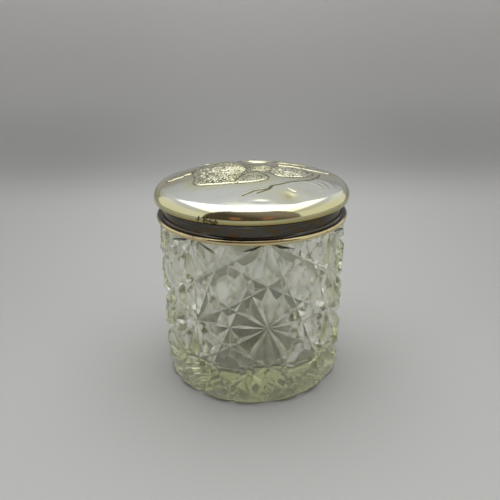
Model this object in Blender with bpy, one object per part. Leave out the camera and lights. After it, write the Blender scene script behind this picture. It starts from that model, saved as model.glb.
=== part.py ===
"""Round glass powder jar with a lift-off, embossed silver lid.

Units are metres, +Z is up and the origin is the centre of the jar's flat underside.
The jar is one thick glass pot with a plain neck.  The lid is three soldered pieces:
a domed cover, a band that slips over the neck, and a round wire along the band's foot.
"""
import math

import bmesh
import bpy

# Driving dimensions
GLASS_RADIUS = 0.0400
WIRE_OUTSIDE = 0.0404       # outside of the wire along the lid's foot
LID_RADIUS = 0.0409         # widest part of the domed cover
SHOULDER_Z = 0.0702         # flat glass shoulder that the lid's wire rests above
NECK_TOP_Z = 0.0796
COVER_FOOT_Z = 0.0780       # underside of the cover's turned-in edge
COVER_WIDEST_Z = 0.0798
COVER_TOP_Z = 0.0894        # smooth dome, before the embossing
RELIEF_HEIGHT = 0.0008

# Glass
FOOT_RADIUS = 0.0380        # flat underside
FOOT_BEVEL_TOP = (0.0396, 0.0025)
SHOULDER_BEVEL = 0.0006
BODY_TOP_RADIUS = 0.0397
BOWL_RADIUS = 0.0335
BOWL_FLOOR_Z = 0.0115
BOWL_FILLET = 0.0050
NECK_RADIUS = 0.0367
MOUTH_RADIUS = 0.0330
LIP_ROUND = 0.0010

# Sheet metal
GAP = 0.0003                # solder gap kept between neighbouring pieces
COVER_SHEET = 0.0007
COVER_KNUCKLE = 0.0052      # radius where the dome turns down into its side
COVER_EDGE_ROUND = 0.0018   # radius where the side turns in underneath
BAND_SHEET = 0.0006
BAND_RADIUS = 0.0378        # outside of the band's upright wall
BAND_TOP_Z = 0.0800
FLARE_START_Z = 0.0746      # the band's wall turns outward below this height
WIRE_RADIUS = 0.0012

SEGMENTS = 64
CROWN_STEPS = 8
ARC_STEPS = 3
WIRE_STEPS = 10

# Embossed leaves and petals: centre x, y, half length, half width (of the lid's radius), heading
EMBOSSED_LEAVES = (
    (-0.30, -0.18, 0.32, 0.22, 75.0),
    (0.04, -0.16, 0.24, 0.13, 110.0),
    (0.38, -0.06, 0.20, 0.17, 20.0),
    (-0.30, 0.20, 0.30, 0.16, 170.0),
    (0.04, 0.45, 0.26, 0.12, 85.0),
    (-0.72, 0.06, 0.22, 0.07, 30.0),
    (0.58, 0.20, 0.26, 0.07, 165.0),
)

GLASS = ("cut_glass", (0.78, 0.81, 0.72), 0.05, 0.0)
SILVER = ("tarnished_silver", (0.72, 0.70, 0.58), 0.22, 1.0)
DARK_SILVER = ("oxidised_silver", (0.16, 0.15, 0.13), 0.30, 1.0)
GILT = ("gilt_wire", (0.72, 0.58, 0.36), 0.28, 1.0)


def clear_scene():
    for old in list(bpy.data.objects):
        bpy.data.objects.remove(old, do_unlink=True)


def make_material(name, colour, roughness, metallic):
    material = bpy.data.materials.new(name)
    material.use_nodes = True
    shader = material.node_tree.nodes["Principled BSDF"]
    shader.inputs["Base Color"].default_value = (*colour, 1.0)
    shader.inputs["Roughness"].default_value = roughness
    shader.inputs["Metallic"].default_value = metallic
    return material


def arc(centre_r, centre_z, radius, start_deg, end_deg, steps=ARC_STEPS):
    """Points on an arc in the (radius, height) plane, both ends included."""
    points = []
    for step in range(steps + 1):
        angle = math.radians(start_deg + (end_deg - start_deg) * step / steps)
        points.append((centre_r + radius * math.cos(angle), centre_z + radius * math.sin(angle)))
    return points


def crown_radius(widest, knuckle, rise):
    """Radius of the large arc over the top that runs smoothly into the knuckle."""
    reach = widest - knuckle
    return (reach ** 2 + rise ** 2 - knuckle ** 2) / (2.0 * (rise - knuckle))


def dome_profile(widest, knuckle, top_z):
    """Profile from the axis over the crown and round the knuckle to the widest ring."""
    crown = crown_radius(widest, knuckle, top_z - COVER_WIDEST_Z)
    centre_z = top_z - crown
    meeting = math.degrees(math.atan2(COVER_WIDEST_Z - centre_z, widest - knuckle))
    points = arc(0.0, centre_z, crown, 90.0, meeting, CROWN_STEPS)
    points[0] = (0.0, top_z)
    return points + arc(widest - knuckle, COVER_WIDEST_Z, knuckle, meeting, 0.0, ARC_STEPS)[1:]


def relief(x, y):
    """Height of the embossing: the highest leaf at this place on the lid."""
    highest = 0.0
    for centre_x, centre_y, half_length, half_width, heading in EMBOSSED_LEAVES:
        turn = math.radians(heading)
        along = (x / LID_RADIUS - centre_x) * math.cos(turn) + (y / LID_RADIUS - centre_y) * math.sin(turn)
        across = (y / LID_RADIUS - centre_y) * math.cos(turn) - (x / LID_RADIUS - centre_x) * math.sin(turn)
        inside = 1.0 - (along / half_length) ** 2 - (across / half_width) ** 2
        if inside > 0.0:
            highest = max(highest, min(1.0, 2.0 * inside))
    return RELIEF_HEIGHT * highest


def turn_solid(name, outline, material, shape=None):
    """One closed solid turned about Z from an outline; points at radius 0 become poles."""
    mesh = bpy.data.meshes.new(name)
    work = bmesh.new()
    rings = []
    for radius, height in outline:
        count = SEGMENTS if radius > 0.0 else 1
        ring = []
        for index in range(count):
            angle = 2.0 * math.pi * index / SEGMENTS
            x = radius * math.cos(angle)
            y = radius * math.sin(angle)
            lift = shape(x, y, height) if shape else 0.0
            ring.append(work.verts.new((x, y, height + lift)))
        rings.append(ring)
    for ring, following in zip(rings, rings[1:] + rings[:1]):
        join_rings(work, ring, following)
    bmesh.ops.recalc_face_normals(work, faces=work.faces)
    work.to_mesh(mesh)
    work.free()
    mesh.shade_smooth()
    mesh.set_sharp_from_angle(angle=math.radians(35.0))
    mesh.materials.append(material)
    piece = bpy.data.objects.new(name, mesh)
    bpy.context.scene.collection.objects.link(piece)
    return piece


def join_rings(work, ring, following):
    if len(ring) == 1 and len(following) == 1:
        return
    for index in range(SEGMENTS):
        after = (index + 1) % SEGMENTS
        if len(ring) == 1:
            work.faces.new((ring[0], following[index], following[after]))
        elif len(following) == 1:
            work.faces.new((ring[index], ring[after], following[0]))
        else:
            work.faces.new((ring[index], ring[after], following[after], following[index]))


def glass_outline():
    """The pot: flat foot, straight side, shoulder, neck with a rounded lip, round-cornered bowl."""
    outside = [
        (0.0, 0.0),
        (FOOT_RADIUS, 0.0),
        FOOT_BEVEL_TOP,
        (GLASS_RADIUS, 0.25 * SHOULDER_Z),
        (GLASS_RADIUS, 0.75 * SHOULDER_Z),
        (BODY_TOP_RADIUS, SHOULDER_Z - SHOULDER_BEVEL),
        (BODY_TOP_RADIUS - SHOULDER_BEVEL, SHOULDER_Z),
        (NECK_RADIUS, SHOULDER_Z),
    ]
    lip = arc(NECK_RADIUS - LIP_ROUND, NECK_TOP_Z - LIP_ROUND, LIP_ROUND, 0.0, 90.0)
    lip += arc(MOUTH_RADIUS + LIP_ROUND, NECK_TOP_Z - LIP_ROUND, LIP_ROUND, 90.0, 180.0)
    inside = [(MOUTH_RADIUS, SHOULDER_Z), (BOWL_RADIUS, SHOULDER_Z - LIP_ROUND)]
    inside += arc(BOWL_RADIUS - BOWL_FILLET, BOWL_FLOOR_Z + BOWL_FILLET, BOWL_FILLET, 0.0, -90.0)
    inside.append((0.0, BOWL_FLOOR_Z))
    return outside + lip + inside


def cover_outline():
    """The domed sheet with its side turned in under itself, towards the band."""
    hole = BAND_RADIUS + GAP
    corner_r = LID_RADIUS - COVER_EDGE_ROUND
    corner_z = COVER_FOOT_Z + COVER_EDGE_ROUND
    outer = dome_profile(LID_RADIUS, COVER_KNUCKLE, COVER_TOP_Z)
    outer += arc(corner_r, corner_z, COVER_EDGE_ROUND, 0.0, -90.0)
    outer.append((hole, COVER_FOOT_Z))
    inner = [(hole, COVER_FOOT_Z + COVER_SHEET)]
    inner += arc(corner_r, corner_z, COVER_EDGE_ROUND - COVER_SHEET, -90.0, 0.0)
    skin = dome_profile(LID_RADIUS - COVER_SHEET, COVER_KNUCKLE - COVER_SHEET, COVER_TOP_Z - COVER_SHEET)
    return outer + inner + skin[::-1]


def emboss(x, y, height):
    """Lift only the outer skin of the crown, which lies well above its inner one."""
    crown = crown_radius(LID_RADIUS, COVER_KNUCKLE, COVER_TOP_Z - COVER_WIDEST_Z)
    from_centre = math.hypot(math.hypot(x, y), height - COVER_TOP_Z + crown)
    return relief(x, y) if from_centre > crown - 0.1 * COVER_SHEET else 0.0


def band_outline():
    """Upright wall around the neck, flaring out at its foot over the wire."""
    bore = BAND_RADIUS - BAND_SHEET
    wire_z = SHOULDER_Z + GAP + WIRE_RADIUS
    flare_z = wire_z + WIRE_RADIUS + GAP
    flare_r = WIRE_OUTSIDE - WIRE_RADIUS
    sweep = FLARE_START_Z - flare_z - BAND_SHEET
    outer = [(BAND_RADIUS, BAND_TOP_Z), (BAND_RADIUS, FLARE_START_Z)]
    outer += arc(BAND_RADIUS + sweep, FLARE_START_Z, sweep, 180.0, 270.0)[1:]
    outer.append((flare_r, flare_z + BAND_SHEET))
    inner = [(flare_r, flare_z), (bore, flare_z), (bore, BAND_TOP_Z)]
    return outer + inner


def wire_outline():
    centre_z = SHOULDER_Z + GAP + WIRE_RADIUS
    return arc(WIRE_OUTSIDE - WIRE_RADIUS, centre_z, WIRE_RADIUS, 0.0, 360.0, WIRE_STEPS)[:-1]


def main():
    clear_scene()
    turn_solid("glass_jar", glass_outline(), make_material(*GLASS))
    turn_solid("lid_cover", cover_outline(), make_material(*SILVER), emboss)
    turn_solid("lid_band", band_outline(), make_material(*DARK_SILVER))
    turn_solid("lid_rim_wire", wire_outline(), make_material(*GILT))


main()
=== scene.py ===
"""Looks of the powder jar: deep-cut glass pot and embossed, tarnished silver lid.

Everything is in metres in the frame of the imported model.  Heights and radii come from the
boxes of the CAD nodes; the finer shapes are worked out from the named sizes below.
"""
import math

import bmesh
import bpy
import numpy as np
from mathutils import Matrix, Vector


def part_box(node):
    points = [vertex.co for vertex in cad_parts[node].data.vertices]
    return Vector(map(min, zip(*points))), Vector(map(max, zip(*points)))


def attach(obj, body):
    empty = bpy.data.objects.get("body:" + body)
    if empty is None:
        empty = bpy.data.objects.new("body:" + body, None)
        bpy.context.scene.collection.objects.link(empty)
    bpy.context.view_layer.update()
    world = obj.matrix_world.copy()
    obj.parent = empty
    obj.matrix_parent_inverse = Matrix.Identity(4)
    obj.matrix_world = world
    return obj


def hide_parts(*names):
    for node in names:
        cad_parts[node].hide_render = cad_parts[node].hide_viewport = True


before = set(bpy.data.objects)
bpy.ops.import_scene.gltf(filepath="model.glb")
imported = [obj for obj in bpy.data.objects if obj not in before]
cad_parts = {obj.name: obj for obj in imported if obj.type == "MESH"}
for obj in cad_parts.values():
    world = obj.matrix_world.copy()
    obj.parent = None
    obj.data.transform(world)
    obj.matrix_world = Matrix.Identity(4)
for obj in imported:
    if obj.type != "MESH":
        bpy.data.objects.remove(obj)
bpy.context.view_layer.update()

MM = 0.001

# ---------------------------------------------------------------- sizes taken from the frame
_, glass_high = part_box("glass_jar")
cover_low, cover_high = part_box("lid_cover")
_, band_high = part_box("lid_band")
wire_low, wire_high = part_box("lid_rim_wire")

GLASS_RADIUS = glass_high[0]
NECK_TOP_Z = glass_high[2]
LID_RADIUS = cover_high[0]
COVER_FOOT_Z = cover_low[2]
COVER_HIGHEST_Z = cover_high[2]
BAND_TOP_Z = band_high[2]
WIRE_OUTSIDE = wire_high[0]
WIRE_RADIUS = 0.5 * (wire_high[2] - wire_low[2])
WIRE_Z = 0.5 * (wire_high[2] + wire_low[2])
UNIT = GLASS_RADIUS                 # the lid's plan shapes and the camera are given in this unit

# ---------------------------------------------------------------- cut glass
COLUMNS = 8                         # big stars round the girth
ROWS = 2                            # repeats of the pattern up the side
ROW_HEIGHT = 35.56 * MM
CUT_DEPTH = 1.95 * MM
CUT_HALF_WIDTH = 2.56 * MM
SHORT_CUT = 7.6 * MM                # half length of the short cut across each small star
FIRST_STAR_DEG = 8.67               # a column of stars, right of the front
COLUMN_WIDTH = 2.0 * math.pi / COLUMNS * (GLASS_RADIUS - 0.5 * CUT_DEPTH)
SHOULDER_Z = wire_low[2] - 0.3 * MM
NECK_RADIUS = 36.7 * MM
MOUTH_RADIUS = 33.0 * MM
BOWL_RADIUS = 33.5 * MM
BOWL_FLOOR_Z = 11.5 * MM
BOWL_FILLET = 5.0 * MM
BOWL_SHOULDER = 2.0 * MM            # height over which the bowl narrows to the mouth
LIP_ROUND = 1.2 * MM
LIP_STEPS = 10
FILLET_STEPS = 12
TURNED_SEGMENTS = 192
FOOT_DRAFT = 0.4 * MM               # the side is this much narrower at the foot
SHOULDER_DRAFT = 0.3 * MM           # and at the shoulder
TILE_STRIPS = 12                    # each repeat bends round the side in so many strips
WELD = 0.02 * MM                    # corners closer than this are one corner
BASE_RAYS = 24
BASE_STAR_TIP = 33.0 * MM
BASE_STAR_NOTCH = 17.0 * MM
BASE_STAR_DEPTH = 0.5 * MM

# ---------------------------------------------------------------- lid
RELIEF_HEIGHT = 0.8 * MM
EDGE_ROUND = 1.8 * MM               # radius where the side turns in underneath
COVER_TOP_Z = COVER_HIGHEST_Z - RELIEF_HEIGHT     # the smooth dome before it is embossed
COVER_WIDEST_Z = COVER_FOOT_Z + EDGE_ROUND
COVER_KNUCKLE = 5.2 * MM            # radius where the dome turns down into its side
COVER_SHEET = 0.7 * MM
COVER_SEGMENTS = 520
CROWN_RINGS, KNUCKLE_RINGS = 126, 20              # outer skin, fine enough for the embossing
INNER_CROWN_RINGS, INNER_KNUCKLE_RINGS = 22, 5    # inner skin
EDGE_STEPS, INNER_EDGE_STEPS = 8, 4
TOP_MARGIN = 0.02 * MM              # the embossing stays this far below the cover's highest place
OUTLINE_GROOVE = 0.06               # mm that the dark outlines are cut in
BAND_RADIUS = 37.8 * MM
BAND_SHEET = 0.6 * MM
BAND_SWEEP = 1.1 * MM               # radius of the hollow sweep at the band's foot
BAND_GAP = 0.05 * MM                # air between the cover's turned-in edge and the band
RIM_SEGMENTS = 256
SWEEP_STEPS = 14
WIRE_STEPS = 28


# ---------------------------------------------------------------- mesh helpers
def shaded_object(name, mesh, sharp_deg):
    """Smooth-shaded object in the scene, with sharp edges where its mesh bends hard."""
    mesh.shade_smooth()
    mesh.set_sharp_from_angle(angle=math.radians(sharp_deg))
    piece = bpy.data.objects.new(name, mesh)
    bpy.context.scene.collection.objects.link(piece)
    return piece


def mesh_object(name, work, sharp_deg=30.0):
    """Object from a bmesh, with outward faces."""
    bmesh.ops.recalc_face_normals(work, faces=work.faces)
    mesh = bpy.data.meshes.new(name)
    work.to_mesh(mesh)
    work.free()
    return shaded_object(name, mesh, sharp_deg)


def arc(centre_r, centre_z, radius, start_deg, end_deg, steps):
    """Points on an arc in the (radius, height) plane, both ends included."""
    angles = np.radians(np.linspace(start_deg, end_deg, steps + 1))
    return [(centre_r + radius * math.cos(a), centre_z + radius * math.sin(a)) for a in angles]


def add_ring(work, radius, height, segments):
    """Ring of corners round the axis, or one corner on the axis."""
    if radius <= 0.0:
        return [work.verts.new((0.0, 0.0, height))]
    angles = np.linspace(0.0, 2.0 * math.pi, segments, endpoint=False)
    return [work.verts.new((radius * math.cos(a), radius * math.sin(a), height)) for a in angles]


def join_rings(work, ring, following):
    """Faces between two rings of equal count, or between a ring and a pole."""
    count = max(len(ring), len(following))
    if count == 1:
        return
    for index in range(count):
        after = (index + 1) % count
        corners = [ring[index % len(ring)], ring[after % len(ring)]]
        corners += [following[after % len(following)], following[index % len(following)]]
        unique = []
        for corner in corners:
            if corner not in unique:
                unique.append(corner)
        work.faces.new(unique)


def turn(work, outline, segments, closed=False):
    """Skin turned about Z from an outline; returns its first and last rings."""
    rings = [add_ring(work, radius, height, segments) for radius, height in outline]
    pairs = list(zip(rings, rings[1:]))
    if closed:
        pairs.append((rings[-1], rings[0]))
    for ring, following in pairs:
        join_rings(work, ring, following)
    return rings[0], rings[-1]


def by_angle(loop):
    """The loop's corners in their order round the axis."""
    return sorted(loop, key=lambda vert: math.atan2(vert.co.y, vert.co.x))


def zip_loops(work, loop_a, loop_b):
    """Triangles between two loops round the axis that may differ in count."""
    loop_a, loop_b = by_angle(loop_a), by_angle(loop_b)

    def turn_of(loop, index):
        vert = loop[index % len(loop)]
        return math.atan2(vert.co.y, vert.co.x) + 2.0 * math.pi * (index // len(loop))

    index_a = index_b = 0
    while index_a < len(loop_a) or index_b < len(loop_b):
        vert_a = loop_a[index_a % len(loop_a)]
        vert_b = loop_b[index_b % len(loop_b)]
        step_a = index_b >= len(loop_b) or (
            index_a < len(loop_a) and turn_of(loop_a, index_a + 1) <= turn_of(loop_b, index_b + 1)
        )
        if step_a:
            index_a += 1
            work.faces.new((vert_a, loop_a[index_a % len(loop_a)], vert_b))
        else:
            index_b += 1
            work.faces.new((vert_a, loop_b[index_b % len(loop_b)], vert_b))


# ---------------------------------------------------------------- the cut pattern
def flat_solid(name, verts, faces):
    """Flat-sided solid from its corners and faces."""
    work = bmesh.new()
    corners = [work.verts.new(point) for point in verts]
    for face in faces:
        work.faces.new([corners[index] for index in face])
    return mesh_object(name, work)


def groove_cutter(start, end):
    """Long V-shaped prism along a line on the flat pattern, point down."""
    start, end = Vector(start), Vector(end)
    along = (end - start).normalized()
    across = Vector((-along.y, along.x))
    over = 0.2 * CUT_DEPTH
    side = CUT_HALF_WIDTH * (CUT_DEPTH + over) / CUT_DEPTH
    verts = []
    for point in (start - along * ROW_HEIGHT, end + along * ROW_HEIGHT):
        left, right = point + across * side, point - across * side
        verts += [(left.x, left.y, over), (right.x, right.y, over), (point.x, point.y, -CUT_DEPTH)]
    return flat_solid("groove", verts, [(0, 2, 1), (3, 4, 5), (0, 1, 4, 3), (1, 2, 5, 4), (2, 0, 3, 5)])


def short_cutter(x, y):
    """Pointed cut that is deepest at its middle, as a wheel leaves it."""
    grow = 1.2
    over = (grow - 1.0) * CUT_DEPTH
    long, wide = SHORT_CUT * grow, CUT_HALF_WIDTH * grow
    verts = [(x - long, y, over), (x, y - wide, over), (x + long, y, over), (x, y + wide, over)]
    verts.append((x, y, -CUT_DEPTH))
    return flat_solid("short_cut", verts, [(0, 3, 2, 1), (0, 1, 4), (1, 2, 4), (2, 3, 4), (3, 0, 4)])


def pattern_cutters():
    """Cutters of one repeat: big stars at its corners, small stars half way up its sides."""
    wide, high = COLUMN_WIDTH, ROW_HEIGHT
    middle, half = 0.5 * wide, 0.5 * high
    lines = [((0, 0), (0, high)), ((0, 0), (wide, 0))]
    lines += [((wide, 0), (wide, high)), ((0, high), (wide, high))]
    lines += [((0, 0), (wide, half)), ((0, half), (wide, high))]
    lines += [((0, half), (wide, 0)), ((0, high), (wide, half))]
    lines += [((0, 0), (middle, high)), ((middle, 0), (wide, high))]
    lines += [((0, high), (middle, 0)), ((middle, high), (wide, 0))]
    return [groove_cutter(a, b) for a, b in lines] + [short_cutter(x, half) for x in (0, wide)]


def cut_tile():
    """One flat repeat of the cut surface: corner list and face list."""
    wide, high, deep = COLUMN_WIDTH, ROW_HEIGHT, 2.0 * CUT_DEPTH
    verts = [(x, y, z) for z in (-deep, 0) for y in (0, high) for x in (0, wide)]
    faces = [(0, 2, 3, 1), (4, 5, 7, 6), (0, 1, 5, 4), (2, 6, 7, 3), (0, 4, 6, 2), (1, 3, 7, 5)]
    slab = flat_solid("slab", verts, faces)
    cutters = pattern_cutters()
    for cutter in cutters:
        cut = slab.modifiers.new("cut", "BOOLEAN")
        cut.operation = "DIFFERENCE"
        cut.solver = "MANIFOLD"
        cut.object = cutter
    depsgraph = bpy.context.evaluated_depsgraph_get()
    mesh = bpy.data.meshes.new_from_object(slab.evaluated_get(depsgraph))
    work = bmesh.new()
    work.from_mesh(mesh)
    work.normal_update()
    hidden = [face for face in work.faces if face.normal.z < 0.1]
    bmesh.ops.delete(work, geom=hidden, context="FACES")
    bmesh.ops.remove_doubles(work, verts=work.verts[:], dist=WELD)
    for step in range(1, TILE_STRIPS):
        geometry = work.verts[:] + work.edges[:] + work.faces[:]
        place = (wide * step / TILE_STRIPS, 0, 0)
        bmesh.ops.bisect_plane(work, geom=geometry, plane_co=place, plane_no=(1, 0, 0), dist=WELD)
    work.verts.index_update()
    points = [tuple(vert.co) for vert in work.verts]
    polygons = [[vert.index for vert in face.verts] for face in work.faces]
    work.free()
    bpy.data.meshes.remove(mesh)
    for helper in [slab] + cutters:
        bpy.data.objects.remove(helper, do_unlink=True)
    return points, polygons


def side_radius(height):
    """Outer radius of the uncut glass: a little narrower at the foot and at the shoulder."""
    foot = max(0.0, 1.0 - height / (0.25 * SHOULDER_Z))
    top = max(0.0, (height - 0.75 * SHOULDER_Z) / (0.25 * SHOULDER_Z))
    return GLASS_RADIUS - FOOT_DRAFT * foot ** 2 - SHOULDER_DRAFT * top ** 2


def wrap_pattern(work):
    """The repeats laid round the girth; returns the loops at the foot and at the shoulder."""
    points, polygons = cut_tile()
    first = math.radians(FIRST_STAR_DEG - 90.0)
    for row in range(ROWS):
        for column in range(COLUMNS):
            corners = []
            for u, v, depth in points:
                angle = first + 2.0 * math.pi / COLUMNS * (column + u / COLUMN_WIDTH)
                height = v + row * ROW_HEIGHT
                radius = side_radius(height) + depth
                place = (radius * math.cos(angle), radius * math.sin(angle), height)
                corners.append(work.verts.new(place))
            for polygon in polygons:
                work.faces.new([corners[index] for index in polygon])
    bmesh.ops.remove_doubles(work, verts=work.verts[:], dist=1.5 * WELD)
    geometry = work.verts[:] + work.edges[:] + work.faces[:]
    top = (0, 0, SHOULDER_Z)
    bmesh.ops.bisect_plane(
        work, geom=geometry, plane_co=top, plane_no=(0, 0, 1), dist=WELD, clear_outer=True
    )
    open_verts = {vert for edge in work.edges if edge.is_boundary for vert in edge.verts}
    foot = [vert for vert in open_verts if vert.co.z < 0.5 * SHOULDER_Z]
    shoulder = [vert for vert in open_verts if vert.co.z > 0.5 * SHOULDER_Z]
    return foot, shoulder


def base_star(work):
    """Star cut up into the flat underside; returns its outline for the foot to join."""
    centre = work.verts.new((0.0, 0.0, BASE_STAR_DEPTH))
    outline = []
    for index in range(2 * BASE_RAYS):
        angle = math.pi * index / BASE_RAYS
        radius = BASE_STAR_NOTCH if index % 2 else BASE_STAR_TIP
        outline.append(work.verts.new((radius * math.cos(angle), radius * math.sin(angle), 0.0)))
    join_rings(work, outline, [centre])
    return outline


def make_glass():
    """The pot: cut side, neck with a rounded lip, bowl and star-cut foot."""
    work = bmesh.new()
    foot, shoulder = wrap_pattern(work)
    lip_z, fillet_z = NECK_TOP_Z - LIP_ROUND, BOWL_FLOOR_Z + BOWL_FILLET
    lip = arc(NECK_RADIUS - LIP_ROUND, lip_z, LIP_ROUND, 0.0, 90.0, LIP_STEPS)
    lip += arc(MOUTH_RADIUS + LIP_ROUND, lip_z, LIP_ROUND, 90.0, 180.0, LIP_STEPS)
    inside = [(MOUTH_RADIUS, SHOULDER_Z), (BOWL_RADIUS, SHOULDER_Z - BOWL_SHOULDER)]
    inside += arc(BOWL_RADIUS - BOWL_FILLET, fillet_z, BOWL_FILLET, 0.0, -90.0, FILLET_STEPS)
    inside.append((0.0, BOWL_FLOOR_Z))
    neck_foot, _ = turn(work, [(NECK_RADIUS, SHOULDER_Z)] + lip + inside, TURNED_SEGMENTS)
    zip_loops(work, shoulder, neck_foot)
    zip_loops(work, foot, base_star(work))
    bmesh.ops.triangulate(work, faces=[face for face in work.faces if len(face.verts) > 4])
    return mesh_object("jar_cut_glass", work, 12.0)


# ---------------------------------------------------------------- embossing on the lid
def smooth(low, high, value):
    """Smooth step from 0 at low to 1 at high."""
    t = np.clip((value - low) / (high - low), 0.0, 1.0)
    return t * t * (3.0 - 2.0 * t)


def spline(points, closed, steps=10):
    """Smooth curve through a few plan points, as an array of points."""
    points = np.array(points, float)
    count = len(points)
    spans = count if closed else count - 1
    curve = []
    for span in range(spans):
        if closed:
            p0, p1, p2, p3 = (points[(span + shift) % count] for shift in (-1, 0, 1, 2))
        else:
            p0, p1, p2, p3 = (points[min(max(span + shift, 0), count - 1)] for shift in (-1, 0, 1, 2))
        t = np.linspace(0.0, 1.0, steps, endpoint=False)[:, None]
        bend = (2 * p0 - 5 * p1 + 4 * p2 - p3) * t ** 2 + (3 * p1 - p0 - 3 * p2 + p3) * t ** 3
        curve.append(0.5 * (2 * p1 + (p2 - p0) * t + bend))
    if not closed:
        curve.append(points[-1:])
    return np.concatenate(curve)


def line_distance(x, y, curve, closed):
    """Distance from each place to the curve, and where along it the nearest point is (0 to 1)."""
    ends = np.roll(curve, -1, axis=0) if closed else curve[1:]
    starts = curve if closed else curve[:-1]
    nearest = np.full(x.shape, 1e9)
    along = np.zeros(x.shape)
    for index, (start, end) in enumerate(zip(starts, ends)):
        run = end - start
        t = ((x - start[0]) * run[0] + (y - start[1]) * run[1]) / max(run @ run, 1e-12)
        t = np.clip(t, 0.0, 1.0)
        distance = np.hypot(x - start[0] - t * run[0], y - start[1] - t * run[1])
        closer = distance < nearest
        nearest = np.where(closer, distance, nearest)
        along = np.where(closer, (index + t) / len(starts), along)
    return nearest, along


def inside_distance(x, y, outline):
    """Distance to a closed outline, positive inside it."""
    curve = spline(outline, closed=True)
    nearest, _ = line_distance(x, y, curve, closed=True)
    inside = np.zeros(x.shape, bool)
    for start, end in zip(curve, np.roll(curve, -1, axis=0)):
        crosses = (start[1] > y) != (end[1] > y)
        rise = end[1] - start[1]
        rise = rise if abs(rise) > 1e-12 else 1e-12
        inside ^= crosses & (x < (end[0] - start[0]) * (y - start[1]) / rise + start[0])
    return np.where(inside, nearest, -nearest)


def ripple(x, y, seed, scale):
    """Gentle unevenness made of a few crossing waves, between about -1 and 1."""
    rng = np.random.default_rng(seed)
    total = np.zeros(x.shape)
    for _ in range(7):
        angle = rng.uniform(0.0, 2.0 * math.pi)
        pitch = scale * rng.uniform(0.6, 1.6)
        phase = rng.uniform(0.0, 2.0 * math.pi)
        total += np.sin(2.0 * math.pi * (x * math.cos(angle) + y * math.sin(angle)) / pitch + phase)
    return total / 3.5


# Plan shapes on the lid.  Unit: UNIT; x to the right, y away from the front.
BROAD_PETAL = (
    (-0.60, 0.16), (-0.595, 0.00), (-0.565, -0.16), (-0.565, -0.30), (-0.53, -0.385), (-0.44, -0.425),
    (-0.30, -0.435), (-0.17, -0.435), (-0.11, -0.38), (-0.10, -0.27), (-0.10, -0.14), (-0.06, 0.00),
    (-0.10, 0.15), (-0.28, 0.20), (-0.46, 0.23),
)
PETAL_TIP = (
    (-0.14, -0.43), (-0.05, -0.43), (0.05, -0.405), (0.13, -0.36), (0.155, -0.29), (0.12, -0.20),
    (0.06, -0.13), (0.00, -0.12), (-0.06, -0.20), (-0.11, -0.31),
)
RIGHT_PETAL = (
    (0.20, -0.06), (0.22, -0.16), (0.27, -0.225), (0.35, -0.235), (0.44, -0.215), (0.53, -0.17),
    (0.60, -0.09), (0.63, 0.02), (0.58, 0.12), (0.46, 0.18), (0.33, 0.17), (0.24, 0.10),
)
HATCHED_PETAL = (
    (-0.50, 0.25), (-0.34, 0.23), (-0.16, 0.18), (-0.09, 0.24), (-0.11, 0.38), (-0.20, 0.52),
    (-0.33, 0.60), (-0.46, 0.55), (-0.54, 0.42),
)
BUD = (
    (0.08, 0.50), (0.19, 0.53), (0.27, 0.61), (0.22, 0.70), (0.08, 0.74), (-0.06, 0.71), (-0.12, 0.62),
    (-0.04, 0.53),
)
LEFT_LEAF = (
    (-0.875, -0.09), (-0.80, -0.07), (-0.72, -0.02), (-0.64, 0.06), (-0.59, 0.20), (-0.58, 0.36),
    (-0.66, 0.27), (-0.75, 0.18), (-0.82, 0.07),
)
RIGHT_BLADE = (
    (0.30, 0.24), (0.42, 0.215), (0.56, 0.175), (0.70, 0.13), (0.835, 0.13), (0.74, 0.20), (0.62, 0.26),
    (0.46, 0.31), (0.33, 0.31),
)
BACK_BLADE = (
    (0.30, 0.47), (0.42, 0.43), (0.54, 0.41), (0.63, 0.42), (0.54, 0.47), (0.43, 0.51), (0.33, 0.53),
)
EYE = (
    (0.08, -0.14), (0.19, -0.07), (0.24, 0.06), (0.23, 0.18), (0.14, 0.28), (0.00, 0.31), (-0.10, 0.23),
    (-0.08, 0.08), (-0.02, -0.10),
)
FLOWER_EYE = (0.06, 0.12)
REAR_LEAF_LEFT = (
    (-0.22, 0.60), (-0.36, 0.66), (-0.50, 0.68), (-0.62, 0.62), (-0.56, 0.76), (-0.40, 0.83), (-0.24, 0.78),
)
REAR_LEAF_RIGHT = (
    (0.16, 0.64), (0.30, 0.60), (0.46, 0.60), (0.62, 0.56), (0.54, 0.70), (0.38, 0.80), (0.22, 0.78),
)

MAIN_STEM = (
    (-0.10, -0.79), (-0.085, -0.72), (-0.03, -0.67), (0.05, -0.605), (0.15, -0.575), (0.19, -0.50),
    (0.27, -0.45), (0.34, -0.40), (0.45, -0.335), (0.56, -0.27), (0.645, -0.17), (0.70, -0.04),
    (0.73, 0.08),
)
SIDE_STEM = ((0.03, -0.69), (0.10, -0.635), (0.17, -0.575), (0.20, -0.50))
LOOP_STEM = (
    (0.33, -0.50), (0.36, -0.42), (0.45, -0.345), (0.55, -0.33), (0.64, -0.37), (0.68, -0.46),
    (0.64, -0.55),
)
MIDDLE_LOOP = ((0.46, -0.31), (0.58, -0.28), (0.69, -0.32), (0.735, -0.42), (0.72, -0.52))
OUTER_LOOP = ((0.58, -0.235), (0.68, -0.22), (0.77, -0.26), (0.81, -0.36), (0.79, -0.46))
REAR_STEM = ((0.05, 0.66), (0.02, 0.76), (-0.06, 0.84), (-0.18, 0.89))
CREASE = ((0.335, -0.545), (0.37, -0.59), (0.43, -0.635))

# Curve, height in mm, half width
STEMS = ((MAIN_STEM, 0.060, 0.020), (SIDE_STEM, 0.045, 0.015), (REAR_STEM, 0.30, 0.018))
LOOPS = ((LOOP_STEM, 0.11, 0.028), (MIDDLE_LOOP, 0.09, 0.022), (OUTER_LOOP, 0.07, 0.022))

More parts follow.
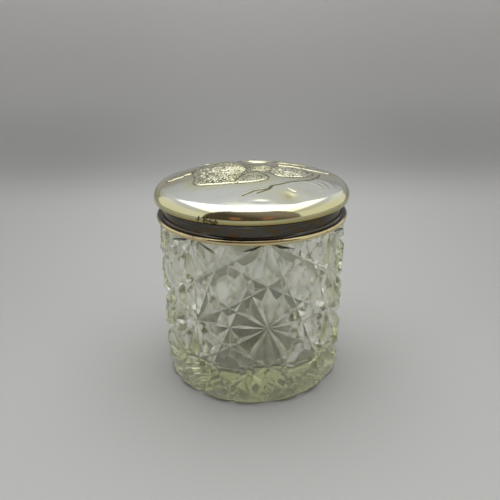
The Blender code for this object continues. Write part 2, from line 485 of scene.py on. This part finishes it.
# Place x and y, half width, half depth, and how deep in mm
DENTS = (
    (0.36, -0.73, 0.095, 0.115, 0.46),
    (0.56, -0.52, 0.120, 0.100, 0.16),
    (0.08, -0.845, 0.080, 0.028, 0.05),
    (-0.56, -0.495, 0.020, 0.020, 0.10),
    (-0.39, -0.515, 0.030, 0.018, 0.07),
    (0.20, -0.72, 0.020, 0.020, 0.05),
    (0.08, 0.480, 0.140, 0.030, 0.50),
)


def raised(x, y, outline, height, edge, roll, pillow):
    """Height of one raised shape in mm, and its distance-inside field."""
    within = inside_distance(x, y, outline)
    within = within + 0.008 * ripple(x, y, 7, 0.08) + 0.004 * ripple(x, y, 8, 0.028)
    plateau = smooth(-0.35 * edge, edge, within)
    cushion = smooth(0.0, 0.15, within)
    rim = roll * np.exp(-((within - 0.9 * edge) / (0.55 * edge)) ** 2)
    return height * ((1.0 - pillow) * plateau + pillow * cushion) + rim, within


def stem(x, y, points, height, half_width, taper=0.35):
    """Half-round ridge along a curve, thinner towards both ends, and a line on its near side only: painted
    shade beside the ridge, later also cut in as a shallow groove.
    """
    curve = spline(points, closed=False)
    away, along = line_distance(x, y, curve, closed=False)
    # painted shade: a dark line along the near side of the ridge only
    groove, _ = line_distance(x, y + half_width, curve, closed=False)
    width = half_width * (1.0 - taper * (2.0 * along - 1.0) ** 2)
    bulge = np.sqrt(np.clip(1.0 - (away / width) ** 2, 0.0, 1.0))
    ends = smooth(0.0, 0.08, along) * smooth(0.0, 0.08, 1.0 - along)
    return height * bulge * ends, np.exp(-(groove / 0.014) ** 2) * ends


def strokes(x, y, seed, pitch=0.022, length=1.6):
    """Short irregular chisel strokes that fan out from the flower's eye, between about -1 and 1."""
    distance = np.hypot(x - FLOWER_EYE[0], y - FLOWER_EYE[1])
    angle = np.arctan2(y - FLOWER_EYE[1], x - FLOWER_EYE[0])
    across = angle * 0.45 / pitch + 1.3 * ripple(x, y, seed + 1, 0.11)
    along = distance / (pitch * length) + 0.8 * ripple(x, y, seed + 2, 0.09)
    return np.tanh(1.2 * (ripple(across, along, seed, 1.0) + 0.8 * ripple(across, along, seed + 3, 0.55)))


def embossing(x, y):
    """Relief in mm above the smooth dome, and a 0 to 1 field of dark patina in the hollows plus painted
    shade round the shapes, beside the stems and over the big dent.
    """
    height = 0.03 * ripple(x, y, 5, 0.55) * smooth(1.0, 0.8, np.hypot(x, y))
    recess_and_shade = np.zeros(x.shape)
    uneven = 0.5 + 0.5 * ripple(x, y, 6, 0.12)

    def add(outline, top, texture, edge=0.013, roll=0.10, pillow=0.5):
        nonlocal height, recess_and_shade
        lift, within = raised(x, y, outline, top, edge, roll * (0.3 + 1.0 * uneven), pillow)
        inner = smooth(0.0, 0.03, within)
        lift = lift + texture * inner
        height = np.maximum(height, lift)
        line = np.exp(-((within + 0.013) / 0.013) ** 2) * (0.75 + 0.25 * uneven)
        # a soft ring round each raised shape: yellow tarnish and painted shade together
        halo_tarnish_and_shade = 0.46 * smooth(-0.20, -0.01, within)
        valleys = inner * (0.25 + 0.75 * smooth(0.03, -0.075, texture))
        recess_and_shade = np.maximum.reduce([recess_and_shade * (1.0 - inner), line, halo_tarnish_and_shade * (1.0 - inner), valleys])

    def ribs(outline, depth, pitch):
        turns = 2.0 * math.pi * inside_distance(x, y, outline) / pitch
        return depth * np.sin(turns + ripple(x, y, 38, 0.1))

    add(REAR_LEAF_LEFT, 0.40, 0.07 * strokes(x, y, 131))
    add(REAR_LEAF_RIGHT, 0.40, 0.07 * strokes(x, y, 132))
    add(BACK_BLADE, 0.60, 0.03 * ripple(x, y, 41, 0.06), 0.010, 0.08)
    add(RIGHT_BLADE, 0.60, 0.05 * strokes(x, y, 142), 0.010, 0.10)
    add(LEFT_LEAF, 0.50, 0.05 * strokes(x, y, 143), 0.010, 0.10)
    add(EYE, 0.14, 0.10 * strokes(x, y, 136, 0.030) - 0.03, 0.02, 0.03)
    add(HATCHED_PETAL, 0.48, 0.10 * strokes(x, y, 133, 0.020, 2.6), pillow=0.7)
    add(BROAD_PETAL, 0.46, 0.13 * strokes(x, y, 134, 0.020, 1.4) - 0.02, roll=0.07)
    add(PETAL_TIP, 0.40, ribs(PETAL_TIP, 0.03, 0.030) + 0.07 * strokes(x, y, 137), 0.012, 0.06)
    add(RIGHT_PETAL, 0.85, 0.09 * strokes(x, y, 135, 0.022, 1.8), pillow=0.85)
    add(BUD, 0.78, 0.01 * ripple(x, y, 44, 0.2), 0.05, 0.0, 0.1)

    for points, top, half_width in STEMS:
        lift, lines = stem(x, y, points, top, half_width)
        height = height + lift
        # the stems' near-side lines join the field as painted shade
        recess_and_shade = np.maximum(recess_and_shade, lines)
    # painted shade: a brown darkening laid over the big dent near the front
    dent_shade_patch = 0.58 * np.exp(-((x - 0.34) / 0.08) ** 2 - ((y + 0.69) / 0.12) ** 2)
    recess_and_shade = np.maximum(recess_and_shade, dent_shade_patch)
    for points, top, half_width in LOOPS:
        lift, _ = stem(x, y, points, top, half_width)
        height = height + lift
    return height, recess_and_shade


def dents(x, y):
    """Knocks and a crease that the thin cover has picked up, in mm."""
    total = np.zeros(x.shape)
    for place_x, place_y, wide, deep, depth in DENTS:
        total -= depth * np.exp(-(((x - place_x) / wide) ** 2 + ((y - place_y) / deep) ** 2))
    away, along = line_distance(x, y, spline(CREASE, closed=False), closed=False)
    ends = smooth(0.0, 0.3, along) * smooth(0.0, 0.3, 1.0 - along)
    return total - 0.12 * np.exp(-(away / 0.014) ** 2) * ends


def dome_rings(widest, knuckle, top_z, crown_rings, knuckle_rings):
    """Radii and heights of the smooth dome: a large arc, then the knuckle to the widest ring."""
    reach, rise = widest - knuckle, top_z - COVER_WIDEST_Z
    crown = (reach ** 2 + rise ** 2 - knuckle ** 2) / (2.0 * (rise - knuckle))
    centre_z = top_z - crown
    meeting = math.degrees(math.atan2(COVER_WIDEST_Z - centre_z, reach))
    rings = arc(0.0, centre_z, crown, 90.0, meeting, crown_rings)[1:]
    rings += arc(reach, COVER_WIDEST_Z, knuckle, meeting, 0.0, knuckle_rings)[1:]
    return np.array(rings)


def dome_skin(widest, knuckle, top_z, crown_rings, knuckle_rings):
    """One embossed skin of the cover: places by ring and segment, and its field of hollows and painted
    shade.
    """
    rings = dome_rings(widest, knuckle, top_z, crown_rings, knuckle_rings)
    radii, smooth_z = rings[:, :1], rings[:, 1:]
    angles = np.linspace(0.0, 2.0 * math.pi, COVER_SEGMENTS, endpoint=False)[None, :]
    x, y = radii * np.cos(angles), radii * np.sin(angles)
    relief, groove = embossing(x / UNIT, y / UNIT)
    fade = smooth(1.0, 0.93, radii / widest)
    relief = (relief + dents(x / UNIT, y / UNIT) - OUTLINE_GROOVE * groove) * fade * MM
    room = (COVER_HIGHEST_Z - COVER_TOP_Z) + top_z - smooth_z - TOP_MARGIN
    z = smooth_z + np.minimum(relief, room)
    return np.stack([x, y, z], axis=2), groove * fade


def cover_faces(count):
    """Faces between the cover's rings, and from its first and last rings to their poles."""
    faces = []
    for ring in range(count - 1):
        base = ring * COVER_SEGMENTS
        following = base + COVER_SEGMENTS
        for index in range(COVER_SEGMENTS):
            after = (index + 1) % COVER_SEGMENTS
            faces.append((base + index, following + index, following + after, base + after))
    last = (count - 1) * COVER_SEGMENTS
    outer_pole = count * COVER_SEGMENTS
    for index in range(COVER_SEGMENTS):
        after = (index + 1) % COVER_SEGMENTS
        faces.append((outer_pole, index, after))
        faces.append((outer_pole + 1, last + after, last + index))
    return faces


def make_cover():
    """The domed sheet: embossed outer skin, turned-in edge, and an inner skin that follows it."""
    outer, groove = dome_skin(LID_RADIUS, COVER_KNUCKLE, COVER_TOP_Z, CROWN_RINGS, KNUCKLE_RINGS)
    inner, _ = dome_skin(
        LID_RADIUS - COVER_SHEET, COVER_KNUCKLE - COVER_SHEET, COVER_TOP_Z - COVER_SHEET,
        INNER_CROWN_RINGS, INNER_KNUCKLE_RINGS,
    )
    hole = BAND_RADIUS + BAND_GAP
    corner_r, corner_z = LID_RADIUS - EDGE_ROUND, COVER_FOOT_Z + EDGE_ROUND
    turned = arc(corner_r, corner_z, EDGE_ROUND, 0.0, -90.0, EDGE_STEPS)[1:]
    turned += [(hole, COVER_FOOT_Z), (hole, COVER_FOOT_Z + COVER_SHEET)]
    turned += arc(corner_r, corner_z, EDGE_ROUND - COVER_SHEET, -90.0, 0.0, INNER_EDGE_STEPS)[:-1]
    angles = np.linspace(0.0, 2.0 * math.pi, COVER_SEGMENTS, endpoint=False)
    edge = []
    for radius, height in turned:
        level = np.full(angles.shape, height)
        edge.append(np.stack([radius * np.cos(angles), radius * np.sin(angles), level], axis=1))
    rings = np.concatenate([outer, np.array(edge), inner[::-1]])
    poles = np.array([[0, 0, outer[0, :, 2].mean()], [0, 0, inner[0, :, 2].mean()]])
    verts = np.concatenate([rings.reshape(-1, 3), poles])
    mesh = bpy.data.meshes.new("lid_embossed_cover")
    mesh.from_pydata(verts.tolist(), [], cover_faces(len(rings)))
    mesh.update()
    piece = shaded_object("lid_embossed_cover", mesh, 50.0)
    # the field of dark patina and painted shade goes to the shader as a point attribute
    recess_and_shade = mesh.attributes.new("recess_and_shade", "FLOAT", "POINT")
    values = np.zeros(len(verts), np.float32)
    values[: groove.size] = groove.reshape(-1)
    recess_and_shade.data.foreach_set("value", values)
    return piece


# ---------------------------------------------------------------- band and rim wire
def make_band():
    """Upright wall with a hollow sweep at its foot, out to the wire."""
    bore = BAND_RADIUS - BAND_SHEET
    foot_r, foot_z = WIRE_OUTSIDE - WIRE_RADIUS, WIRE_Z + 0.45 * WIRE_RADIUS
    flange_top, flange_foot = foot_z + 0.10 * MM, foot_z - 0.15 * MM
    sweep_r, sweep_z = BAND_RADIUS + BAND_SWEEP, flange_top + BAND_SWEEP
    outline = [(BAND_RADIUS, BAND_TOP_Z)]
    outline += arc(sweep_r, sweep_z, BAND_SWEEP, 180.0, 265.0, SWEEP_STEPS)
    outline += [(foot_r, flange_top), (foot_r, flange_foot)]
    outline += [(bore, flange_foot), (bore, BAND_TOP_Z)]
    work = bmesh.new()
    turn(work, outline, RIM_SEGMENTS, closed=True)
    return mesh_object("lid_dark_band", work, 40.0)


def make_wire():
    """Round wire that is worn a little unevenly round the girth."""
    section = arc(WIRE_OUTSIDE - WIRE_RADIUS, WIRE_Z, WIRE_RADIUS, 0.0, 360.0, WIRE_STEPS)[:-1]
    work = bmesh.new()
    turn(work, section, RIM_SEGMENTS, closed=True)
    for vert in work.verts:
        angle = math.atan2(vert.co.y, vert.co.x)
        worn = 1.0 + 0.0006 * math.sin(7.0 * angle + 1.0) + 0.0004 * math.sin(17.0 * angle)
        vert.co.x *= worn - 0.001
        vert.co.y *= worn - 0.001
    return mesh_object("lid_rim_wire_fine", work, 40.0)


# ---------------------------------------------------------------- material helpers
class Graph:
    """Short way to add and wire shader nodes."""

    def __init__(self, tree):
        self.tree = tree

    def add(self, kind, settings=None, **inputs):
        """Node with its inputs set by name, or by number as i0, i1 and so on."""
        node = self.tree.nodes.new("ShaderNode" + kind)
        for key, value in (settings or {}).items():
            setattr(node, key, value)
        for key, value in inputs.items():
            numbered = key[0] == "i" and key[1:].isdigit()
            self.put(node.inputs[int(key[1:]) if numbered else key], value)
        return node

    def put(self, socket, value):
        if isinstance(value, bpy.types.NodeSocket):
            self.tree.links.new(value, socket)
        else:
            socket.default_value = value

    def math(self, operation, a, b=0.0, clamp=False):
        return self.add("Math", {"operation": operation, "use_clamp": clamp}, i0=a, i1=b).outputs[0]

    def noise(self, vector, scale, detail=2.0, roughness=0.5):
        node = self.add("TexNoise", Vector=vector, Scale=scale, Detail=detail, Roughness=roughness)
        return node.outputs["Fac"]

    def fade(self, value, low, high, out_low=0.0, out_high=1.0):
        settings = {"interpolation_type": "SMOOTHSTEP"}
        node = self.add("MapRange", settings, i0=value, i1=low, i2=high, i3=out_low, i4=out_high)
        return node.outputs[0]

    def mix(self, factor, colour_a, colour_b, blend="MIX"):
        node = self.add("Mix", {"data_type": "RGBA", "blend_type": blend})
        self.put(node.inputs[0], factor)
        self.put(node.inputs[6], colour_a)
        self.put(node.inputs[7], colour_b)
        return node.outputs[2]

    def stretched(self, vector, x, y, z):
        return self.add("Mapping", Vector=vector, Scale=(x, y, z)).outputs[0]

    def from_axis(self, axes):
        """Distance from the jar's axis."""
        flat = self.add("CombineXYZ", i0=axes[0], i1=axes[1]).outputs[0]
        return self.add("VectorMath", {"operation": "LENGTH"}, i0=flat).outputs["Value"]

    def bumps(self, shader, height, strength, distance):
        bump = self.add("Bump", Height=height, Strength=strength, Distance=distance)
        self.put(shader.inputs["Normal"], bump.outputs[0])

    def metal(self, shader, colour, roughness):
        self.put(shader.inputs["Base Color"], colour)
        shader.inputs["Metallic"].default_value = 1.0
        self.put(shader.inputs["Roughness"], roughness)


def new_material(name):
    """Material with its graph, its shader and the place on the object as a vector."""
    material = bpy.data.materials.new(name)
    material.use_nodes = True
    tree = material.node_tree
    graph = Graph(tree)
    place = graph.add("TexCoord").outputs["Object"]
    return material, graph, tree.nodes["Principled BSDF"], place


def rgb(red, green, blue):
    return (red, green, blue, 1.0)


# ---------------------------------------------------------------- materials
GLASS_IOR = 1.52
GLASS_TINT, GLASS_DENSITY = rgb(0.80, 0.835, 0.32), 12.5      # absorption: faint yellow-green
SILVER = rgb(0.80, 0.81, 0.75)
SILVER_TARNISH, SILVER_EDGE = rgb(0.77, 0.73, 0.42), rgb(0.46, 0.39, 0.16)
SPECK_BROWN = rgb(0.10, 0.075, 0.03)
# dark of the patina in the hollows, also used as painted shade
RECESS_PATINA_AND_SHADE = rgb(0.09, 0.078, 0.042)
SPECK_PLACE = (-0.40 * LID_RADIUS, -0.92 * LID_RADIUS, COVER_FOOT_Z + 0.8 * MM)
BAND_BLACK, BAND_BROWN = rgb(0.095, 0.090, 0.076), rgb(0.125, 0.086, 0.040)
BAND_RUBBED = rgb(0.23, 0.23, 0.21)
GILT, GILT_DULL, GILT_GRIME = rgb(0.76, 0.655, 0.355), rgb(0.58, 0.44, 0.28), rgb(0.16, 0.12, 0.07)
# black over the top of the wire
WIRE_BLACK = rgb(0.06, 0.052, 0.045)


def glass_material():
    """Clear thick glass with a faint yellow-green tint, its bowl dulled by old powder."""
    material, graph, shader, place = new_material("cut_glass")
    haze = graph.noise(place, 160.0, 3.0, 0.6)
    smear = graph.noise(graph.stretched(place, 1.0, 1.0, 0.25), 420.0, 2.0, 0.5)
    axes = graph.add("SeparateXYZ", Vector=place).outputs
    inside = graph.fade(graph.from_axis(axes), BOWL_RADIUS + 1.0 * MM, BOWL_RADIUS + 0.5 * MM)
    above_base = graph.fade(axes[2], BASE_STAR_DEPTH + 1.0 * MM, BASE_STAR_DEPTH + 3.0 * MM)
    inside = graph.math("MULTIPLY", inside, above_base)
    dull = graph.math("MULTIPLY", inside, graph.fade(haze, 0.30, 0.70, 0.12, 0.22))
    worn = graph.fade(axes[2], BASE_STAR_DEPTH + 0.6 * MM, BASE_STAR_DEPTH + 0.2 * MM, 0.0, 0.30)
    dull = graph.math("MAXIMUM", dull, worn)
    rough = graph.math("ADD", graph.fade(haze, 0.45, 0.75, 0.0, 0.035), dull)
    shader.inputs["Base Color"].default_value = rgb(1.0, 1.0, 1.0)
    shader.inputs["Transmission Weight"].default_value = 1.0
    shader.inputs["IOR"].default_value = GLASS_IOR
    graph.put(shader.inputs["Roughness"], rough)
    graph.bumps(shader, smear, 0.02, 0.0002)
    absorb = graph.add("VolumeAbsorption")
    absorb.inputs["Color"].default_value = GLASS_TINT
    absorb.inputs["Density"].default_value = GLASS_DENSITY
    output = material.node_tree.nodes["Material Output"]
    material.node_tree.links.new(absorb.outputs[0], output.inputs["Volume"])
    return material


def silver_material():
    """Worn polished silver: yellow tarnish on the side and round the relief, dark patina in the hollows,
    and painted shade round the relief, beside the stems and over the big dent.
    """
    material, graph, shader, place = new_material("tarnished_silver")
    height = graph.add("SeparateXYZ", Vector=place).outputs[2]
    recess_and_shade = graph.add("Attribute", {"attribute_name": "recess_and_shade"}).outputs["Fac"]
    cloud = graph.noise(place, 38.0, 4.0, 0.6)
    spots = graph.noise(place, 560.0, 3.0, 0.65)
    side = graph.fade(height, COVER_FOOT_Z + 6.6 * MM, COVER_FOOT_Z + 4.0 * MM)
    patchy = graph.math("MULTIPLY", graph.math("SUBTRACT", cloud, 0.45), 1.6)
    # yellow tint from the field: tarnish round and inside the relief, and the painted shade of the ring
    # round each shape
    relief_tint_and_shade = graph.fade(recess_and_shade, 0.02, 0.45, 0.0, 0.55)
    yellow = graph.math("ADD", graph.math("ADD", side, patchy), relief_tint_and_shade, clamp=True)
    colour = graph.mix(yellow, SILVER, SILVER_TARNISH)
    edge = graph.fade(height, COVER_FOOT_Z + 2.6 * MM, COVER_FOOT_Z + 1.0 * MM)
    colour = graph.mix(edge, colour, SILVER_EDGE)
    cluster = graph.add("VectorMath", {"operation": "DISTANCE"}, i0=place, i1=SPECK_PLACE)
    cluster = graph.fade(cluster.outputs["Value"], 9.5 * MM, 2.0 * MM, 0.0, 0.27)
    low = graph.fade(height, COVER_FOOT_Z + 3.8 * MM, COVER_FOOT_Z + 2.6 * MM)
    specks = graph.fade(graph.math("ADD", spots, graph.math("MULTIPLY", cluster, low)), 0.72, 0.77)
    colour = graph.mix(graph.math("MULTIPLY", specks, 0.9), colour, SPECK_BROWN)
    # dark patina in the outlines and texture valleys, and painted shade round the shapes, beside the stems
    # and over the big dent
    colour = graph.mix(graph.fade(recess_and_shade, 0.35, 0.90, 0.0, 0.92), colour, RECESS_PATINA_AND_SHADE)
    rough = graph.fade(graph.noise(place, 90.0, 4.0, 0.6), 0.3, 0.75, 0.08, 0.16)
    rough = graph.math("ADD", rough, graph.math("MULTIPLY", recess_and_shade, 0.14))
    graph.metal(shader, colour, rough)
    scratch = graph.noise(graph.stretched(place, 300.0, 2400.0, 800.0), 1.0, 2.0, 0.6)
    pits = graph.fade(graph.noise(place, 1300.0, 2.0, 0.5), 0.62, 0.78)
    relief = graph.math("SUBTRACT", graph.math("MULTIPLY", scratch, 0.35), pits)
    chased = graph.fade(recess_and_shade, 0.08, 0.3, 0.0, 2.0)
    chased = graph.math("MULTIPLY", graph.noise(place, 1500.0, 2.0, 0.6), chased)
    graph.bumps(shader, graph.math("ADD", relief, chased), 0.06, 0.00012)
    return material


def dark_silver_material():
    """Smooth silver blackened by oxidation, with faint brown stains."""
    material, graph, shader, place = new_material("oxidised_silver")
    stain = graph.noise(graph.stretched(place, 1.0, 1.0, 3.0), 230.0, 4.0, 0.62)
    streak = graph.noise(graph.stretched(place, 1.0, 1.0, 14.0), 90.0, 2.0, 0.5)
    colour = graph.mix(graph.fade(stain, 0.48, 0.62), BAND_BLACK, BAND_BROWN)
    colour = graph.mix(graph.fade(streak, 0.58, 0.76, 0.0, 0.6), colour, BAND_RUBBED)
    graph.metal(shader, colour, graph.fade(stain, 0.35, 0.7, 0.12, 0.28))
    graph.bumps(shader, graph.noise(place, 700.0, 3.0, 0.6), 0.06, 0.0001)
    return material


def gilt_material():
    """Gold-toned wire, duller and grimy in patches, black over its top where it sits under the lid."""
    material, graph, shader, place = new_material("gilt_wire")
    wear = graph.noise(place, 70.0, 4.0, 0.6)
    colour = graph.mix(graph.fade(wear, 0.42, 0.66), GILT, GILT_DULL)
    grime = graph.noise(place, 520.0, 3.0, 0.6)
    colour = graph.mix(graph.fade(grime, 0.58, 0.74, 0.0, 0.6), colour, GILT_GRIME)
    height = graph.add("SeparateXYZ", Vector=place).outputs[2]
    height = graph.math("ADD", height, graph.math("MULTIPLY", wear, 0.3 * WIRE_RADIUS))
    # black over the top of the wire, where it sits under the lid
    black = graph.fade(height, WIRE_Z + 0.76 * WIRE_RADIUS, WIRE_Z + 1.02 * WIRE_RADIUS)
    colour = graph.mix(black, colour, WIRE_BLACK)
    graph.metal(shader, colour, graph.fade(wear, 0.3, 0.7, 0.11, 0.22))
    graph.bumps(shader, grime, 0.08, 0.0001)
    return material


# ---------------------------------------------------------------- the pieces
def make_pieces():
    """Each fine piece in place of its CAD node, on the body that it moves with."""
    jar = make_glass()
    jar.data.materials.append(glass_material())
    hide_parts("glass_jar")
    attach(jar, "jar")

    cover = make_cover()
    cover.data.materials.append(silver_material())
    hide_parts("lid_cover")
    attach(cover, "lid")

    band = make_band()
    band.data.materials.append(dark_silver_material())
    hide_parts("lid_band")
    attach(band, "lid")

    wire = make_wire()
    wire.data.materials.append(gilt_material())
    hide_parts("lid_rim_wire")
    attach(wire, "lid")


# ---------------------------------------------------------------- stage, light and camera
WALL_Y = 0.68
WALL_LEFT, WALL_RIGHT = -0.76, 0.66
WALL_HEIGHT = 0.30
BEND_RADIUS = 0.28
FLOOR_FRONT_Y = -1.6
FLOOR_HALF_WIDTH = 2.0
PAPER = rgb(0.425, 0.428, 0.418)
# painted shade: darker paper further back on the floor
PAPER_FAR_SHADE = rgb(0.300, 0.305, 0.301)
# painted light: paler paper in front of the jar
PAPER_NEAR_LIT = rgb(0.450, 0.453, 0.443)
# painted light under the jar, in place of the light the glass throws on the floor
PAPER_UNDER_JAR_LIT = rgb(0.68, 0.68, 0.655)
PAPER_GRAIN = rgb(0.3, 0.3, 0.3)
# painted shade towards the sides
SIDE_SHADE_BLACK = rgb(0.0, 0.0, 0.0)


def paper_material():
    """Pale paper with painted light and shade: painted shade to the sides and further back, painted light
    at the front, up the wall and under the jar.
    """
    material, graph, shader, place = new_material("pale_paper")
    across, depth, height = graph.add("SeparateXYZ", Vector=place).outputs
    grain = graph.noise(place, 900.0, 2.0, 0.5)
    # painted shade: the paper darkens towards black away from the jar's sides, less so up the wall
    aside = graph.fade(graph.math("ABSOLUTE", across), 0.03, 0.27, 0.0, 0.22)
    aside = graph.math("MULTIPLY", aside, graph.fade(height, 0.08, 0.0, 0.2, 1.0))
    # painted light: the paper gets paler with height up the wall
    up = graph.math("MINIMUM", height, 0.21)
    rise = graph.math("MULTIPLY", up, graph.math("ADD", graph.math("MULTIPLY", up, 8.0), 1.0))
    rise = graph.add("CombineXYZ", i0=rise, i1=rise, i2=rise).outputs[0]
    # painted light under the jar, in place of the light the glass throws on the floor
    under = graph.fade(graph.from_axis((across, depth)), GLASS_RADIUS - 2.0 * MM, GLASS_RADIUS - 4.0 * MM)
    # painted shade: darker paper from 0.22 to 0.42 m behind the jar
    paper = graph.mix(graph.fade(depth, 0.22, 0.42), PAPER, PAPER_FAR_SHADE)
    # painted light: paler paper in front of the jar
    paper = graph.mix(graph.fade(depth, 0.08, -0.08), paper, PAPER_NEAR_LIT)
    paper = graph.mix(1.0, paper, rise, "ADD")
    paper = graph.mix(graph.math("MULTIPLY", grain, 0.05), paper, PAPER_GRAIN)
    paper = graph.mix(aside, paper, SIDE_SHADE_BLACK)
    paper = graph.mix(under, paper, PAPER_UNDER_JAR_LIT)
    graph.put(shader.inputs["Base Color"], paper)
    shader.inputs["Roughness"].default_value = 0.8
    return material


def make_stage():
    """Pale seamless sweep: wide flat floor that curves up into a low wall behind the jar."""
    bend_y = WALL_Y - BEND_RADIUS
    profile = [(FLOOR_FRONT_Y, 0.0), (bend_y, 0.0)]
    for angle in np.radians(np.linspace(4, 84, 16)):
        forward, down = BEND_RADIUS * math.sin(angle), BEND_RADIUS * math.cos(angle)
        profile.append((bend_y + forward, BEND_RADIUS - down))
    profile.append((WALL_Y, WALL_HEIGHT))
    work = bmesh.new()
    left = [work.verts.new((WALL_LEFT, y, z)) for y, z in profile]
    right = [work.verts.new((WALL_RIGHT, y, z)) for y, z in profile]
    for index in range(len(profile) - 1):
        work.faces.new((left[index], right[index], right[index + 1], left[index + 1]))
    for edge, outwards in ((left, -1.0), (right, 1.0)):
        outer = [work.verts.new((outwards * FLOOR_HALF_WIDTH, y, z)) for y, z in profile[:2]]
        work.faces.new((edge[0], edge[1], outer[1], outer[0]))
    sweep = mesh_object("stage_sweep", work, 60.0)
    sweep.data.materials.append(paper_material())


CEILING = rgb(2.0, 2.0, 1.98)
CEILING_MIRRORED = rgb(1.50, 1.50, 1.48)        # as polished metal shows it
CEILING_THROUGH_GLASS = rgb(2.10, 2.10, 2.06)
SIDE_WALLS = rgb(0.74, 0.75, 0.74)
WALL_FOOT = rgb(0.40, 0.405, 0.41)
WALL_TOP = rgb(0.58, 0.59, 0.60)
DARK_ROOM = rgb(0.07, 0.058, 0.05)
DARK_ROOM_TOP = rgb(0.25, 0.215, 0.22)
WARM_SPOT = rgb(0.34, 0.145, 0.09)              # two warm patches in the dark room
BACKGROUND = rgb(0.36, 0.365, 0.36)


def make_world():
    """Light tent open at the front: bright ceiling, pale walls, a dark room in front."""
    world = bpy.data.worlds.new("light_tent")
    bpy.context.scene.world = world
    world.use_nodes = True
    graph = Graph(world.node_tree)
    direction = graph.add("TexCoord").outputs["Generated"]
    across, depth, height = graph.add("SeparateXYZ", Vector=direction).outputs
    aside = graph.math("ABSOLUTE", across)
    nearer = graph.math("MULTIPLY", depth, -1.0)
    level = graph.math("MULTIPLY", aside, 1.25)
    level = graph.math("MAXIMUM", level, graph.math("ABSOLUTE", depth))
    corner = graph.math("ADD", aside, graph.math("MULTIPLY", graph.math("MAXIMUM", across, 0.0), 0.5))
    back = graph.math("GREATER_THAN", depth, corner)
    front = graph.math("GREATER_THAN", nearer, graph.math("MULTIPLY", aside, 0.70))
    upper = graph.fade(height, 0.24, 0.58)
    sides = graph.mix(graph.fade(height, 0.50, 0.57), SIDE_WALLS, WALL_TOP)
    wall = graph.mix(back, sides, graph.mix(upper, WALL_FOOT, WALL_TOP))
    lighter = graph.math("ADD", height, graph.math("MULTIPLY", across, 0.8))
    room = graph.mix(graph.fade(lighter, 0.25, 1.05), DARK_ROOM, DARK_ROOM_TOP)
    spot_across = graph.math("ABSOLUTE", graph.math("SUBTRACT", aside, 0.30))
    spot_up = graph.math("ABSOLUTE", graph.math("SUBTRACT", height, 0.26))
    spot = graph.math("MULTIPLY", graph.fade(spot_across, 0.14, 0.05), graph.fade(spot_up, 0.20, 0.06))
    room = graph.mix(spot, room, WARM_SPOT)
    wall = graph.mix(front, wall, room)
    ceiling_rise = graph.math("ADD", graph.math("MULTIPLY", front, 1.5), 0.92)
    over = graph.math("SUBTRACT", height, graph.math("MULTIPLY", level, ceiling_rise))
    soft = graph.math("ADD", graph.math("MULTIPLY", front, 0.40), 0.06)
    path = graph.add("LightPath").outputs
    ceiling = graph.mix(path["Is Glossy Ray"], CEILING, CEILING_MIRRORED)
    ceiling = graph.mix(path["Is Transmission Ray"], ceiling, CEILING_THROUGH_GLASS)
    tent = graph.mix(graph.fade(over, 0.0, soft), wall, ceiling)
    tent = graph.mix(path["Is Camera Ray"], tent, BACKGROUND)
    background = world.node_tree.nodes["Background"]
    graph.put(background.inputs["Color"], tent)
    background.inputs["Strength"].default_value = 1.0


SOFTBOX_PLACE = (0.0, 0.10, 0.95)
SOFTBOX_TARGET = (0.0, 0.0, 0.06)
SOFTBOX_SIZE = 0.9
SOFTBOX_WATTS = 1.0


def make_light():
    """Faint square softbox over the jar; the tent gives most of the light."""
    lamp = bpy.data.lights.new("top_softbox", "AREA")
    lamp.shape = "RECTANGLE"
    lamp.size, lamp.size_y = SOFTBOX_SIZE, SOFTBOX_SIZE
    lamp.energy = SOFTBOX_WATTS
    light = bpy.data.objects.new("top_softbox", lamp)
    light.location = SOFTBOX_PLACE
    aim = Vector(SOFTBOX_TARGET) - Vector(SOFTBOX_PLACE)
    light.rotation_euler = aim.to_track_quat("-Z", "Y").to_euler()
    bpy.context.scene.collection.objects.link(light)


CAMERA_DISTANCE = 5.1147 * UNIT
CAMERA_HEIGHT = 3.4130 * UNIT
CAMERA_PITCH_DEG = 22.19
CAMERA_ROLL_DEG = 0.70
CAMERA_YAW_DEG = 0.264
SENSOR_WIDTH = 36.0
LENS = 35.77


def make_camera():
    """Camera in front of and above the jar, looking down on it, held slightly off level."""
    camera = bpy.data.objects.new("camera", bpy.data.cameras.new("camera"))
    camera.data.sensor_width = SENSOR_WIDTH
    camera.data.lens = LENS
    camera.data.clip_start = 0.005
    camera.data.clip_end = 20.0
    aim = Matrix.Rotation(math.radians(CAMERA_YAW_DEG), 4, "Z")
    aim = aim @ Matrix.Rotation(math.radians(90.0 - CAMERA_PITCH_DEG), 4, "X")
    aim = aim @ Matrix.Rotation(math.radians(-CAMERA_ROLL_DEG), 4, "Z")
    camera.matrix_world = Matrix.Translation((0.0, -CAMERA_DISTANCE, CAMERA_HEIGHT)) @ aim
    bpy.context.scene.collection.objects.link(camera)
    bpy.context.scene.camera = camera


GLASS_BOUNCES = 24
MIRROR_BOUNCES = 8


def set_render_limits():
    """Enough bounces for light to pass through the cut glass."""
    scene = bpy.context.scene
    scene.view_settings.view_transform = "Standard"
    scene.cycles.max_bounces = GLASS_BOUNCES
    scene.cycles.transmission_bounces = GLASS_BOUNCES
    scene.cycles.glossy_bounces = MIRROR_BOUNCES
    scene.cycles.use_denoising = True


make_camera()
make_pieces()
make_stage()
make_world()
make_light()
set_render_limits()
